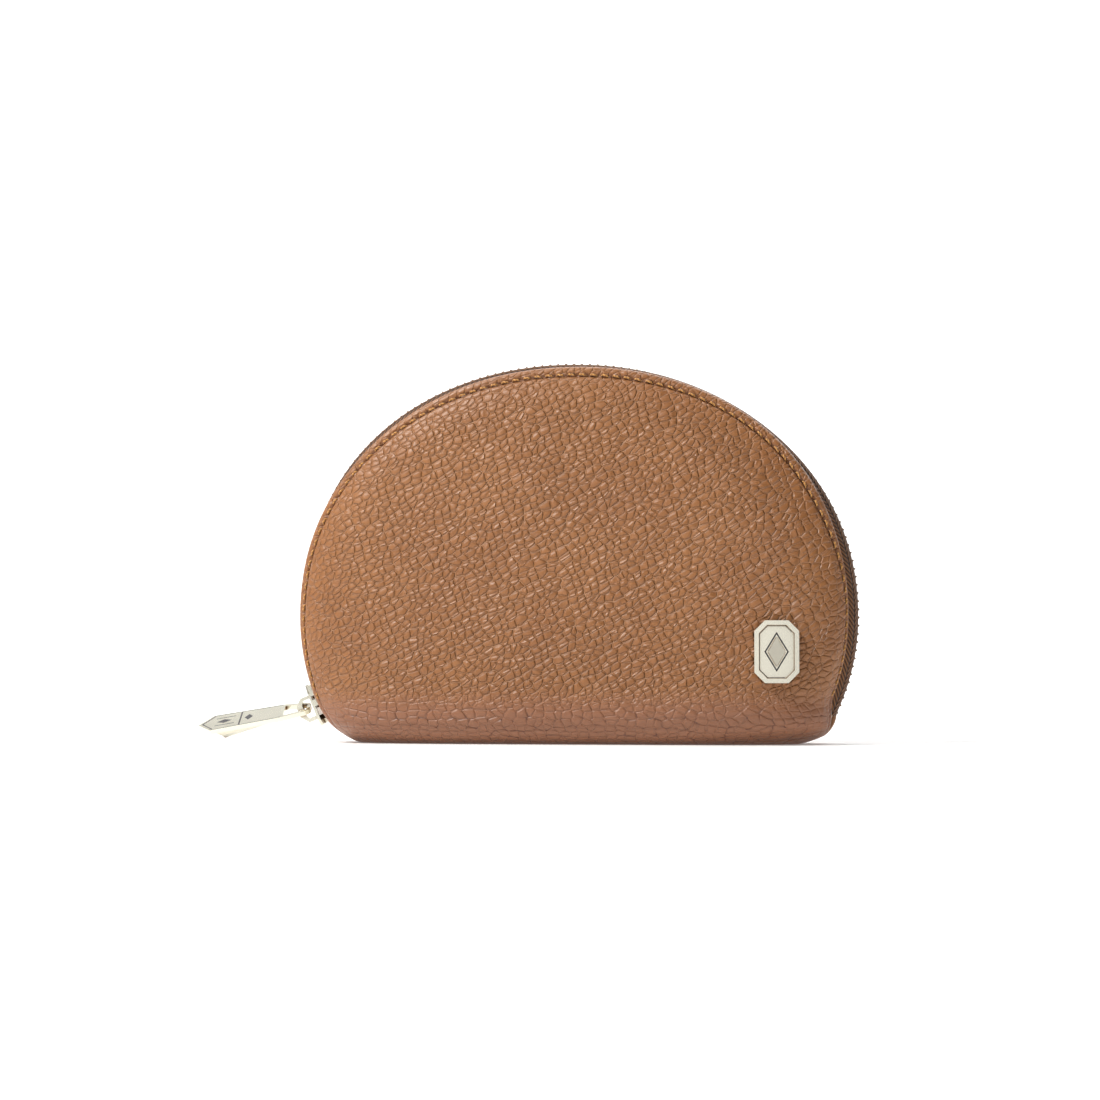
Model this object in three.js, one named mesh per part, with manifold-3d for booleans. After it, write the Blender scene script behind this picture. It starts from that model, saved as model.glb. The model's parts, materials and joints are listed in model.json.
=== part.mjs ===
// A zipped half-moon leather pouch, standing on its flat base.
// Millimetres. The origin is the centre of the underside of the base. Seen from the front, +X runs
// to the right, the front faces -Y and +Z is up.
import * as THREE from 'three';
import { ConvexGeometry } from 'three/addons/geometries/ConvexGeometry.js';
import { mergeVertices } from 'three/addons/utils/BufferGeometryUtils.js';
import Module from 'manifold-3d';

const wasm = await Module();
wasm.setup();

// ---------------------------------------------------------------- driving dimensions

const DEGREE = Math.PI / 180;
const GAP = 0.3; // clearance between pieces that touch on the real pouch
const CLEARANCE = 0.05; // between flat pieces clamped together

const outline = {
  halfWidth: 69.4, // leather edge at the widest level
  widestLevel: 32.1,
  topLevel: 94.5, // leather edge at the top of the dome
  lowerSemi: 62, // lower half-ellipse, cut off by the floor
  exponent: 2.1, // superellipse exponent of the dome
  cornerRadius: 4, // where the side seam runs into the base
};

const body = {
  baseHalfDepth: 18.5, // half of the greatest front-to-back depth
  taper: 0.075, // half-depth lost per millimetre of height
  rollRadius: 8, // fold of the leather under the base
  bulgeExponent: 4, // how square the plan section is
  zipHalfGap: 5.5, // leather edge to the middle of the zip
  seamHalfGap: 0.15, // leather edge to the middle of the closed side seam
  seamTop: 1,
  zipBottom: 5.5, // from here up the edges stand the full zip width apart
};

const leatherThickness = 1.2;
const stiffenerThickness = 0.6;
const liningThickness = 0.6;
const splitLevel = 14; // the front wall bends below this level
const zipEndLevel = 8.5; // where the visible tape ends at both sides

const stiffenerDepth = leatherThickness + 1.5 * GAP;

const layers = {
  leather: [0, leatherThickness],
  stiffener: [stiffenerDepth, stiffenerDepth + stiffenerThickness],
};
const liningDepth = layers.stiffener[1] + GAP;
layers.lining = [liningDepth, liningDepth + liningThickness];
const pocketDepth = layers.lining[1] + 3 * GAP;
layers.pocket = [pocketDepth, pocketDepth + liningThickness];

const FRONT = -1;
const BACK = 1;

// ---------------------------------------------------------------- colours

const colours = {
  leather: new THREE.MeshStandardMaterial({ color: 0xa8764c, roughness: 0.55 }),
  baseLeather: new THREE.MeshStandardMaterial({ color: 0xa07050, roughness: 0.55 }),
  board: new THREE.MeshStandardMaterial({ color: 0x8d8478, roughness: 0.9 }),
  lining: new THREE.MeshStandardMaterial({ color: 0x6b4a33, roughness: 0.85 }),
  tape: new THREE.MeshStandardMaterial({ color: 0x7a4a2c, roughness: 0.8 }),
  coil: new THREE.MeshStandardMaterial({ color: 0x6a3f26, roughness: 0.5 }),
  gold: new THREE.MeshStandardMaterial({ color: 0xe6d3a0, roughness: 0.15, metalness: 1 }),
  satinGold: new THREE.MeshStandardMaterial({ color: 0xd8cba8, roughness: 0.35, metalness: 1 }),
};

// ---------------------------------------------------------------- shape of the pouch

// Half the width between the two leather edges at a level.
function halfWidthAt(z) {
  const rise = z - outline.widestLevel;
  if (rise >= 0) {
    const share = Math.min(1, rise / (outline.topLevel - outline.widestLevel));
    return outline.halfWidth * (1 - share ** outline.exponent) ** (1 / outline.exponent);
  }
  const ellipse = outline.halfWidth * Math.sqrt(1 - (rise / outline.lowerSemi) ** 2);
  const radius = outline.cornerRadius;
  const below = Math.max(0, radius - z);
  return ellipse - radius + Math.sqrt(radius ** 2 - below ** 2);
}

// 0 on the middle of the wall, 1 on the leather edge.
function shareOfWidth(x, z) {
  const rise = z - outline.widestLevel;
  if (rise <= 0) return Math.min(1, Math.abs(x) / halfWidthAt(z));
  const across = (Math.abs(x) / outline.halfWidth) ** outline.exponent;
  const up = (rise / (outline.topLevel - outline.widestLevel)) ** outline.exponent;
  return Math.min(1, (across + up) ** (1 / outline.exponent));
}

// Distance from a leather edge to the middle plane: a closed seam at the base, then the zip.
function edgeHalfGapAt(z) {
  const blend = THREE.MathUtils.smoothstep(z, body.seamTop, body.zipBottom);
  return body.seamHalfGap + (body.zipHalfGap - body.seamHalfGap) * blend;
}

// Half-depth on the centre line, with the roll under the base.
function centreHalfDepthAt(z) {
  const radius = body.rollRadius;
  const wall = body.baseHalfDepth - body.taper * Math.max(0, z - radius);
  const below = Math.max(0, radius - z);
  return wall - radius + Math.sqrt(radius ** 2 - below ** 2);
}

function halfDepthAt(x, z) {
  const edge = edgeHalfGapAt(z);
  const bulge = Math.sqrt(1 - shareOfWidth(x, z) ** body.bulgeExponent);
  return edge + (centreHalfDepthAt(z) - edge) * bulge;
}

// Unit normal of the back wall, pointing out. At an edge it is read just inside the edge.
function wallNormalAt(x, z) {
  const inset = 0.9999;
  const step = 0.001;
  const px = x * inset;
  const pz = outline.widestLevel + (z - outline.widestLevel) * inset;
  const slopeX = (halfDepthAt(px + step, pz) - halfDepthAt(px - step, pz)) / (2 * step);
  const slopeZ = (halfDepthAt(px, pz + step) - halfDepthAt(px, pz - step)) / (2 * step);
  return new THREE.Vector3(-slopeX, 1, -slopeZ).normalize();
}

// A point of the front or back wall, a depth below its outer face.
function wallPoint(side, x, z, depth) {
  const normal = wallNormalAt(x, z);
  const point = new THREE.Vector3(x, halfDepthAt(x, z), z).addScaledVector(normal, -depth);
  return point.setY(point.y * side);
}

// The leather edge in the XZ plane, by its angle about the middle of the wall's lower edge.
const wallFoot = splitLevel + GAP;

function rimAt(angle) {
  const cos = Math.cos(angle);
  const sin = Math.sin(angle);
  let inside = 0;
  let outside = 2 * outline.topLevel;
  for (let step = 0; step < 45; step += 1) {
    const radius = (inside + outside) / 2;
    const z = wallFoot + radius * sin;
    const isInside = z < outline.topLevel && Math.abs(radius * cos) < halfWidthAt(z);
    if (isInside) inside = radius;
    else outside = radius;
  }
  return new THREE.Vector2(inside * cos, wallFoot + inside * sin);
}

// Outward direction of the rim in the XZ plane.
function rimNormalAt(angle) {
  const step = 0.002;
  const along = rimAt(angle + step).sub(rimAt(angle - step));
  return new THREE.Vector2(along.y, -along.x).normalize();
}

// The angle where the right-hand rim passes a level.
function rimAngleAt(z) {
  return Math.atan2(z - wallFoot, halfWidthAt(z));
}

// ---------------------------------------------------------------- closed bodies

// Joins points into one closed body: positions is a list of vectors, faces a list of index triples.
function closedBody(positions, faces) {
  const flat = positions.flatMap((point) => [point.x, point.y, point.z]);
  const loose = new THREE.BufferGeometry();
  loose.setAttribute('position', new THREE.Float32BufferAttribute(flat, 3));
  loose.setIndex(faces.flat());
  const merged = mergeVertices(loose, 1e-4);
  const source = merged.index.array;
  const kept = [];
  for (let i = 0; i < source.length; i += 3) {
    const [a, b, c] = [source[i], source[i + 1], source[i + 2]];
    if (a !== b && b !== c && c !== a) kept.push(a, b, c);
  }
  merged.setIndex(kept);
  return facingOut(merged);
}

// Turns every face round when the enclosed volume comes out negative.
function facingOut(geometry) {
  const position = geometry.attributes.position;
  const index = geometry.index.array;
  const corner = (i) => new THREE.Vector3().fromBufferAttribute(position, index[i]);
  let volume = 0;
  for (let i = 0; i < index.length; i += 3) {
    volume += corner(i).dot(corner(i + 1).cross(corner(i + 2)));
  }
  if (volume < 0) geometry.setIndex(Array.from(index).reverse());
  return geometry;
}

// A sheet with thickness: pointAt(u, v, depth) with u and v from 0 to 1.
function sheetBody(pointAt, columns, rows, [outer, inner]) {
  const positions = [];
  const across = rows + 1;
  const face = (columns + 1) * across;
  for (const depth of [outer, inner]) {
    for (let i = 0; i <= columns; i += 1) {
      for (let j = 0; j <= rows; j += 1) positions.push(pointAt(i / columns, j / rows, depth));
    }
  }
  const faces = [];
  for (let i = 0; i < columns; i += 1) {
    for (let j = 0; j < rows; j += 1) {
      const a = i * across + j;
      const b = a + across;
      faces.push([a, b, b + 1], [a, b + 1, a + 1]);
      faces.push([face + a, face + b + 1, face + b], [face + a, face + a + 1, face + b + 1]);
    }
  }
  const edge = (a, b) => faces.push([a, face + b, b], [a, face + a, face + b]);
  for (let i = 0; i < columns; i += 1) {
    edge(i * across, (i + 1) * across);
    edge((i + 1) * across + rows, i * across + rows);
  }
  for (let j = 0; j < rows; j += 1) {
    edge(j + 1, j);
    edge(columns * across + j, columns * across + j + 1);
  }
  return closedBody(positions, faces);
}

// A bar swept through closed sections: sectionAt(t) gives a ring of points, t from 0 to 1.
function sweptBody(sectionAt, steps) {
  const sections = [];
  for (let i = 0; i <= steps; i += 1) sections.push(sectionAt(i / steps));
  const sides = sections[0].length;
  const faces = [];
  for (let i = 0; i < steps; i += 1) {
    for (let k = 0; k < sides; k += 1) {
      const a = i * sides + k;
      const b = i * sides + ((k + 1) % sides);
      faces.push([a, a + sides, b + sides], [a, b + sides, b]);
    }
  }
  const last = steps * sides;
  const flatStart = sections[0].map((point) => new THREE.Vector2(point.y, point.x + point.z));
  for (const cap of THREE.ShapeUtils.triangulateShape(flatStart, [])) {
    const [a, b, c] = cap.sort((one, other) => one - other);
    faces.push([a, b, c], [last + c, last + b, last + a]);
  }
  return closedBody(sections.flat(), faces);
}

// ---------------------------------------------------------------- joining and cutting

function toManifold(geometry) {
  const bare = geometry.clone();
  bare.deleteAttribute('normal');
  bare.deleteAttribute('uv');
  const merged = mergeVertices(bare, 1e-4);
  const vertProperties = new Float32Array(merged.attributes.position.array);
  const triVerts = new Uint32Array(merged.index.array);
  return new wasm.Manifold(new wasm.Mesh({ numProp: 3, vertProperties, triVerts }));
}

function fromManifold(solid) {
  const { vertProperties, triVerts } = solid.getMesh();
  const geometry = new THREE.BufferGeometry();
  geometry.setAttribute('position', new THREE.BufferAttribute(vertProperties, 3));
  geometry.setIndex(new THREE.BufferAttribute(triVerts, 1));
  return geometry;
}

function joined(geometries) {
  return fromManifold(geometries.map(toManifold).reduce((all, next) => all.add(next)));
}

function cut(geometry, tools) {
  const remove = (left, tool) => left.subtract(tool);
  return fromManifold(tools.map(toManifold).reduce(remove, toManifold(geometry)));
}

// ---------------------------------------------------------------- small shape helpers

function named(name, geometry, material) {
  const mesh = new THREE.Mesh(geometry, material);
  mesh.name = name;
  return mesh;
}

function shapeFrom(points) {
  return new THREE.Shape(points.map(([x, y]) => new THREE.Vector2(x, y)));
}

// A plate of the given outline, from z = bottom to z = top.
function plate(shape, bottom, top) {
  const geometry = new THREE.ExtrudeGeometry(shape, {
    depth: top - bottom,
    bevelEnabled: false,
    curveSegments: 6,
  });
  return geometry.translate(0, 0, bottom);
}

function block([x0, x1], [y0, y1], [z0, z1]) {
  const geometry = new THREE.BoxGeometry(x1 - x0, y1 - y0, z1 - z0);
  return geometry.translate((x0 + x1) / 2, (y0 + y1) / 2, (z0 + z1) / 2);
}

// An upright rectangle with its corners cut off.
function cutCornerShape(halfWide, halfHigh, corner) {
  const right = [
    [halfWide - corner, -halfHigh],
    [halfWide, corner - halfHigh],
    [halfWide, halfHigh - corner],
    [halfWide - corner, halfHigh],
  ];
  const left = right.map(([x, y]) => [-x, -y]);
  return shapeFrom([...right, ...left]);
}

// ---------------------------------------------------------------- walls of leather and lining

// Spacing that gathers rings towards the rolled edge.
const towardsEdge = (v) => 1 - (1 - v) ** 3;

// A front or back wall above the split, from the middle of its foot out to a share of the rim.
function wallLayer(side, layer, reach, columns, rings) {
  const pointAt = (u, v, depth) => {
    const rim = rimAt(u * Math.PI);
    const share = reach * towardsEdge(v);
    const x = rim.x * share;
    const z = wallFoot + (rim.y - wallFoot) * share;
    return wallPoint(side, x, z, depth);
  };
  return sheetBody(pointAt, columns, rings, layer);
}

// The channel that folds under the pouch, from the front split line to the back one.
function baseLayer(layer, columns, levels) {
  const down = levels.map((z) => ({ side: FRONT, z }));
  const up = levels.map((z) => ({ side: BACK, z })).reverse();
  const stations = [...down, { side: 0, z: 0 }, ...up];
  const pointAt = (u, v, depth) => {
    const { side, z } = stations[Math.round(v * (stations.length - 1))];
    const x = -Math.cos(u * Math.PI) * halfWidthAt(z);
    return side === 0 ? new THREE.Vector3(x, 0, depth) : wallPoint(side, x, z, depth);
  };
  return sheetBody(pointAt, columns, stations.length - 1, layer);
}

const leatherLevels = [splitLevel, 10.5, 8, 5.5, 3, 1, 0];
const liningLevels = [splitLevel, 8, 4, 1, 0];

const board = { length: 92, width: 15, corner: 4 };

function baseBoard() {
  const shape = cutCornerShape(board.length / 2, board.width / 2, board.corner);
  return plate(shape, ...layers.stiffener);
}

const pocket = { halfWide: 42, bottom: 20, top: 58 };

// A flat pocket sewn on the back lining, open at the top.
function slipPocket() {
  const { halfWide, bottom, top } = pocket;
  const pointAt = (u, v, depth) => {
    const x = (2 * u - 1) * halfWide;
    return wallPoint(BACK, x, bottom + (top - bottom) * v, depth);
  };
  return sheetBody(pointAt, 10, 5, layers.pocket);
}

// ---------------------------------------------------------------- zip

const zip = {
  halfSlit: 0.3, // from the middle plane to each tape and coil
  crown: 1.25, // the tape stands this far outside the leather edge
  ridge: { drop: 0.2, across: 2.4 }, // outer edge of the flat top of the tape
  dip: { drop: 1.65, across: 4.3 }, // where the tape goes under the leather
  tapeThickness: 0.45,
  tuckedTo: 0.97, // share of the wall where the tape ends below the leather
  coilWidth: 2,
  coilTop: 0.25,
  coilBottom: -1.45,
  coilGroove: 0.35, // depth between the turns of the coil
  coilInset: 0.004, // share of the zip left free at each end of the coil
  teeth: 66,
};
const tapeDepth = leatherThickness + 0.6;
const zipEnd = rimAngleAt(zipEndLevel);
const zipAngleAt = (t) => Math.PI - zipEnd + (2 * zipEnd - Math.PI) * t;

// Places (height over the leather edge, distance from the middle plane) pairs along the rim.
function rimPoint(side, angle, height, across) {
  const rim = rimAt(angle).addScaledVector(rimNormalAt(angle), height);
  return new THREE.Vector3(rim.x, side * across, rim.y);
}

// One half of the tape: a ridge beside the slit, sloping down and tucked under the leather.
function zipTape(side) {
  const { halfSlit, crown, ridge, dip, tapeThickness, tuckedTo } = zip;
  const profile = [
    [crown, halfSlit],
    [crown - ridge.drop, ridge.across],
    [crown - dip.drop, dip.across],
  ];
  const tucks = [0.999, 0.987, tuckedTo];
  const sectionAt = (t) => {
    const angle = zipAngleAt(t);
    const tuckedPoint = (share, depth) => {
      const rim = rimAt(angle);
      const z = wallFoot + (rim.y - wallFoot) * share;
      return wallPoint(side, rim.x * share, z, depth);
    };
    const open = (drop) => profile.map(([height, y]) => rimPoint(side, angle, height - drop, y));
    const tucked = (depth) => tucks.map((share) => tuckedPoint(share, depth));
    const top = [...open(0), ...tucked(tapeDepth)];
    const bottom = [...open(tapeThickness), ...tucked(tapeDepth + tapeThickness)];
    return [...top, ...bottom.reverse()];
  };
  return sweptBody(sectionAt, 40);
}

// One half of the coil, on the inner face of the tape, with a rib for every other turn.
function zipCoil(side) {
  const ribs = zip.teeth;
  const sectionAt = (t) => {
    const step = Math.round(t * 2 * ribs);
    const isRib = step % 2 === 0;
    const groove = isRib ? 0 : zip.coilGroove;
    const inner = zip.halfSlit + groove;
    const outer = zip.halfSlit + zip.coilWidth;
    const low = zip.coilBottom + groove;
    const angle = zipAngleAt(zip.coilInset + (1 - 2 * zip.coilInset) * t);
    return [
      rimPoint(side, angle, zip.coilTop, inner),
      rimPoint(side, angle, zip.coilTop, outer),
      rimPoint(side, angle, low, outer),
      rimPoint(side, angle, low, inner),
    ];
  };
  return sweptBody(sectionAt, 2 * ribs);
}

// Turns a group so that its X runs clockwise along the rim and its Z points out of the pouch.
function rimFrame(angle, height) {
  const normal = rimNormalAt(angle);
  const point = rimPoint(FRONT, angle, height, 0);
  const frame = new THREE.Group();
  frame.position.copy(point);
  frame.rotation.y = Math.atan2(normal.x, normal.y);
  return frame;
}

// The clip that holds both tapes together where the open zip ends, at the lower right.
const bottomStop = {
  belowTapeEnd: 1.7,
  length: [-1.1, 1.1],
  width: [-2.2, 2.2],
  height: [-1.3, 0.5],
};

function zipBottomStop() {
  const { belowTapeEnd, length, width, height } = bottomStop;
  const frame = rimFrame(rimAngleAt(zipEndLevel - belowTapeEnd), 0);
  frame.add(named('zip_bottom_stop', block(length, width, height), colours.gold));
  return frame;
}

// ---------------------------------------------------------------- slider and pull

// In the slider's own frame X runs clockwise along the rim, so the nose at -X points down.
const slider = {
  level: 10.5, // height of the leather edge beside the slider when the zip is closed
  ride: 0.4, // the slider's middle over the leather edge
  halfLength: 5.5,
  halfWidth: 4.2,
  endHalfWidth: 3.2,
  noseTaper: 1.6,
  mouthTaper: 2.4,
  plateBottom: 1.95,
  plateTop: 2.65,
  innerTop: -2.15,
  innerBottom: -3,
  hingeHeight: 4.5, // axis of the pull
};

// Turned edges that hold the tapes between the plates. The outer ones stop short of the nose.
const turnedEdge = {
  outerLength: [-0.4, 5.1],
  innerLength: [-3.5, 2.8],
  width: 0.8,
  outerReach: 1.3,
  innerReach: 0.5,
};

const springWindow = { length: [1.3, 2.3], height: [1.25, 2.1] }; // through the outer turned edges
const lockHole = { at: 4.3, radius: 0.55, depth: 1.5 };
const lockTip = { radius: 0.7, height: 0.4 };
const JOIN = 0.2; // how far solids that are joined run into each other

function sliderPlateShape() {
  const { halfLength, halfWidth, endHalfWidth, noseTaper, mouthTaper } = slider;
  const oneSide = [
    [-halfLength, -endHalfWidth],
    [noseTaper - halfLength, -halfWidth],
    [halfLength - mouthTaper, -halfWidth],
    [halfLength, -endHalfWidth],
  ];
  const otherSide = oneSide.map(([x, y]) => [x, -y]).reverse();
  return shapeFrom([...oneSide, ...otherSide]);
}

// Two plates over and under the zip, with turned edges, joined by the wedge at the nose.
function sliderBody() {
  const { halfWidth, plateBottom, plateTop, innerTop, innerBottom } = slider;
  const { outerLength, innerLength, width, outerReach, innerReach } = turnedEdge;
  const outerPlate = plate(sliderPlateShape(), plateBottom, plateTop);
  const innerPlate = plate(sliderPlateShape(), innerBottom, innerTop);
  const edges = [FRONT, BACK].flatMap((side) => {
    const across = [side * (halfWidth - width), side * halfWidth].sort((a, b) => a - b);
    return [
      block(outerLength, across, [plateBottom - outerReach, plateBottom + JOIN]),
      block(innerLength, across, [innerTop - JOIN, innerTop + innerReach]),
    ];
  });
  const window = block(springWindow.length, [-halfWidth - 1, halfWidth + 1], springWindow.height);
  const hole = new THREE.CylinderGeometry(lockHole.radius, lockHole.radius, 2 * lockHole.depth, 12);
  hole.rotateX(Math.PI / 2).translate(lockHole.at, 0, plateTop);
  return cut(joined([outerPlate, innerPlate, ...edges, sliderWedge()]), [hole, window]);
}

// The wedge between the plates that parts the two rows of the coil.
function sliderWedge() {
  const [nose, middle, tail] = [-5, -4, -2.6];
  const halfWidth = 1.3;
  const lozenge = shapeFrom([
    [nose, 0],
    [middle, -halfWidth],
    [tail, 0],
    [middle, halfWidth],
  ]);
  return plate(lozenge, slider.innerTop - JOIN, slider.plateBottom + JOIN);
}

// Side view of an arch with upright ends, sloping shoulders and a flat ridge.
function gabledShape([start, end], halfRidge, [bottom, eaves, ridge]) {
  return shapeFrom([
    [start, bottom],
    [end, bottom],
    [end, eaves],
    [halfRidge, ridge],
    [-halfRidge, ridge],
    [start, eaves],
  ]);
}

const bail = {
  length: [-3.4, 3.1],
  eyeLength: [-2.4, 2.3],
  halfWidth: 0.75,
  halfRidge: 1.2,
  rise: 3, // ridge over the axis of the pull
  gable: 1.75, // ridge over the eaves
  wall: 1.6,
  foot: 0.4,
};

// The arch over the slider that holds the pull, with a gabled top.
function sliderBail() {
  const { length, eyeLength, halfWidth, halfRidge, rise, gable, wall, foot } = bail;
  const low = slider.plateTop + GAP;
  const ridge = slider.hingeHeight + rise;
  const arch = gabledShape(length, halfRidge, [low, ridge - gable, ridge]);
  const eyeHeights = [low + foot, ridge - gable - GAP, ridge - wall];
  arch.holes.push(gabledShape(eyeLength, halfRidge, eyeHeights));
  return plate(arch, -halfWidth, halfWidth).rotateX(Math.PI / 2);
}

// The tip of the locking pin, which sits in the slit between the two coils.
function lockPin() {
  return new THREE.CylinderGeometry(lockTip.radius, lockTip.radius, lockTip.height, 12);
}

// In the pull's own frame X runs from the hinge to the tip and the face is at +Z.
const pull = {
  length: 29.7,
  plateStart: 6.9, // end of the window
  shoulder: 25.9, // start of the point
  halfWidthNear: 3.6,
  halfWidthFar: 4.1,
  halfThickness: 0.6,
  rod: 0.55, // half-thickness of the rod in the bail
  endCentre: 0.8,
  endReach: 1.35,
  endHalfWidth: 2.4,
  rail: 1, // width of the two rails beside the window
  droop: 9.8, // degrees below level, the keel just over the table
  roll: 27, // degrees that the face leans towards the front
};

const keel = {
  start: 7.5,
  deepest: 23.4,
  depth: 4.3, // below the face
  ridgeHalfWidth: 1.1,
  flankDepth: 2.4,
  pointEnd: 28.5,
  inset: 0.4, // inside the edge of the face
};

// One side of the pull's outline, from the rounded end in the bail to the shoulder of the point.
function pullSide() {
  const { plateStart, shoulder, halfWidthNear, halfWidthFar } = pull;
  const { endCentre, endReach, endHalfWidth } = pull;
  const roundedEnd = [25, 50, 90].map((degrees) => [
    endCentre - endReach * Math.cos(degrees * DEGREE),
    -endHalfWidth * Math.sin(degrees * DEGREE),
  ]);
  return [...roundedEnd, [plateStart, -halfWidthNear], [shoulder, -halfWidthFar]];
}

// A stirrup round the bail, widening into a bar with a blunt point and a deep keel.
function pullBody() {
  const { length, plateStart, halfWidthNear, halfThickness, rod, endHalfWidth, rail } = pull;
  const lower = pullSide();
  const upper = lower.map(([x, y]) => [x, -y]).reverse();
  const face = shapeFrom([...lower, [length, 0], ...upper]);
  const windowEnd = plateStart - GAP;
  face.holes.push(shapeFrom([
    [rod, rail - endHalfWidth],
    [windowEnd, rail - halfWidthNear],
    [windowEnd, halfWidthNear - rail],
    [rod, endHalfWidth - rail],
  ]));
  return joined([plate(face, -halfThickness, halfThickness), pullKeel()]);
}

// The wedge of metal behind the face, deepest near the point.
function pullKeel() {
  const { halfThickness, halfWidthNear, halfWidthFar } = pull;
  const { start, deepest, depth, ridgeHalfWidth, flankDepth, pointEnd, inset } = keel;
  const face = halfThickness - JOIN;
  const points = [FRONT, BACK].flatMap((side) => [
    [start, side * (halfWidthNear - inset), -face],
    [deepest, side * (halfWidthFar - inset), face],
    [deepest, side * (halfWidthFar - 2 * inset), halfThickness - flankDepth],
    [deepest, side * ridgeHalfWidth, halfThickness - depth],
    [(pull.shoulder + pointEnd) / 2, side * ridgeHalfWidth, -halfThickness],
    [pointEnd, side * inset, -face],
  ]);
  return new ConvexGeometry(points.map((point) => new THREE.Vector3(...point)));
}

// The slider at the lower left, where the zip is closed, and the pull lying out on the table.
function sliderAndPull() {
  const frame = rimFrame(Math.PI - rimAngleAt(slider.level), slider.ride);
  frame.add(named('slider_body', sliderBody(), colours.gold));
  frame.add(named('slider_bail', sliderBail(), colours.gold));
  frame.add(named('slider_lock_pin', lockPin(), colours.gold));

  const hinge = new THREE.Group();
  hinge.position.z = slider.hingeHeight;
  hinge.rotation.y = Math.PI - pull.droop * DEGREE - frame.rotation.y;
  const roll = new THREE.Group();
  roll.rotation.x = Math.PI - pull.roll * DEGREE;
  roll.add(named('pull', pullBody(), colours.gold));
  hinge.add(roll);
  frame.add(hinge);
  return frame;
}

// ---------------------------------------------------------------- badge

const badge = {
  x: 51.4,
  z: 23,
  halfWide: 5.5,
  halfHigh: 7.7,
  corner: 2.6,
  thickness: 1.1,
  rim: 1.1,
  recess: 0.5,
  inlay: [2.1, 3.6], // half-diagonals of the lozenge
  inlayHeight: 0.35,
  prongRadius: 0.6,
  prongSpacing: 7.6,
};

const washer = { halfWide: 3.4, halfHigh: 5.8, corner: 1.5 };

// Turns a group so that its Z points straight out of the front wall at the badge.
function badgeFrame() {
  const normal = wallNormalAt(badge.x, badge.z);
  normal.y = -normal.y;
  const frame = new THREE.Group();
  frame.position.copy(wallPoint(FRONT, badge.x, badge.z, 0));
  const across = new THREE.Vector3(-normal.y, normal.x, 0).normalize();
  const up = new THREE.Vector3().crossVectors(normal, across);
  frame.quaternion.setFromRotationMatrix(new THREE.Matrix4().makeBasis(across, up, normal));
  return frame;
}

function prongs(radius, bottom, top) {
  return [-1, 1].map((end) => {
    const prong = new THREE.CylinderGeometry(radius, radius, top - bottom, 10);
    return prong.rotateX(Math.PI / 2).translate(0, (end * badge.prongSpacing) / 2, (bottom + top) / 2);
  });
}

// The plaque: a raised rim round a shallow tray, with two prongs that pass through the leather.
function badgePlate() {
  const { halfWide, halfHigh, corner, thickness, rim, recess, prongRadius } = badge;
  const top = GAP + thickness;
  const solid = plate(cutCornerShape(halfWide, halfHigh, corner), GAP, top);
  const trayShape = cutCornerShape(halfWide - rim, halfHigh - rim, corner - rim / 2);
  const tray = plate(trayShape, top - recess, top + recess);
  const pins = prongs(prongRadius, -layers.stiffener[1], GAP + JOIN);
  return joined([cut(solid, [tray]), ...pins]);
}

// A small lozenge standing in the tray.
function badgeInlay() {
  const [wide, high] = badge.inlay;
  const floor = GAP + badge.thickness - badge.recess + CLEARANCE;
  const lozenge = shapeFrom([
    [0, -high],
    [wide, 0],
    [0, high],
    [-wide, 0],
  ]);
  return plate(lozenge, floor, floor + badge.inlayHeight);
}

// The washer behind the leather that the prongs are clinched on.
function badgeWasher() {
  const [top, bottom] = [-layers.stiffener[0], -layers.stiffener[1]];
  const shape = cutCornerShape(washer.halfWide, washer.halfHigh, washer.corner);
  const solid = plate(shape, bottom + CLEARANCE, top - CLEARANCE);
  return cut(solid, prongs(badge.prongRadius + GAP, bottom - 1, top + 1));
}

// The window in the stiffener that the washer lies in.
function washerWindow() {
  const room = 0.5;
  const shape = cutCornerShape(washer.halfWide + room, washer.halfHigh + room, washer.corner);
  return plate(shape, -layers.stiffener[1] - 1, 0);
}

// A hole tool in the pouch's own frame.
function inFrame(frame, geometry) {
  frame.updateMatrixWorld(true);
  return geometry.clone().applyMatrix4(frame.matrixWorld);
}

// ---------------------------------------------------------------- assembly

const wallReach = 1;
const stiffenerReach = 0.93;

// Columns and rings of each wall sheet.
const segments = { leather: [28, 8], stiffener: [16, 5], lining: [20, 5] };

function stiffenerSheet(side) {
  return wallLayer(side, layers.stiffener, stiffenerReach, ...segments.stiffener);
}

function liningSheet(side) {
  return wallLayer(side, layers.lining, wallReach, ...segments.lining);
}

function frontHalf() {
  const group = new THREE.Group();
  const frame = badgeFrame();
  const through = prongs(badge.prongRadius + GAP, -layers.stiffener[1], badge.thickness);
  const holes = through.map((hole) => inFrame(frame, hole));
  const window = inFrame(frame, washerWindow());
  const leather = cut(wallLayer(FRONT, layers.leather, wallReach, ...segments.leather), holes);
  const stiffener = cut(stiffenerSheet(FRONT), [window]);
  group.add(named('leather_front', leather, colours.leather));
  group.add(named('stiffener_front', stiffener, colours.board));
  group.add(named('lining_front', liningSheet(FRONT), colours.lining));
  group.add(named('zip_tape_front', zipTape(FRONT), colours.tape));
  group.add(named('zip_coil_front', zipCoil(FRONT), colours.coil));
  frame.add(named('badge_plate', badgePlate(), colours.gold));
  frame.add(named('badge_inlay', badgeInlay(), colours.satinGold));
  frame.add(named('badge_washer', badgeWasher(), colours.gold));
  group.add(frame);
  return group;
}

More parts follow.
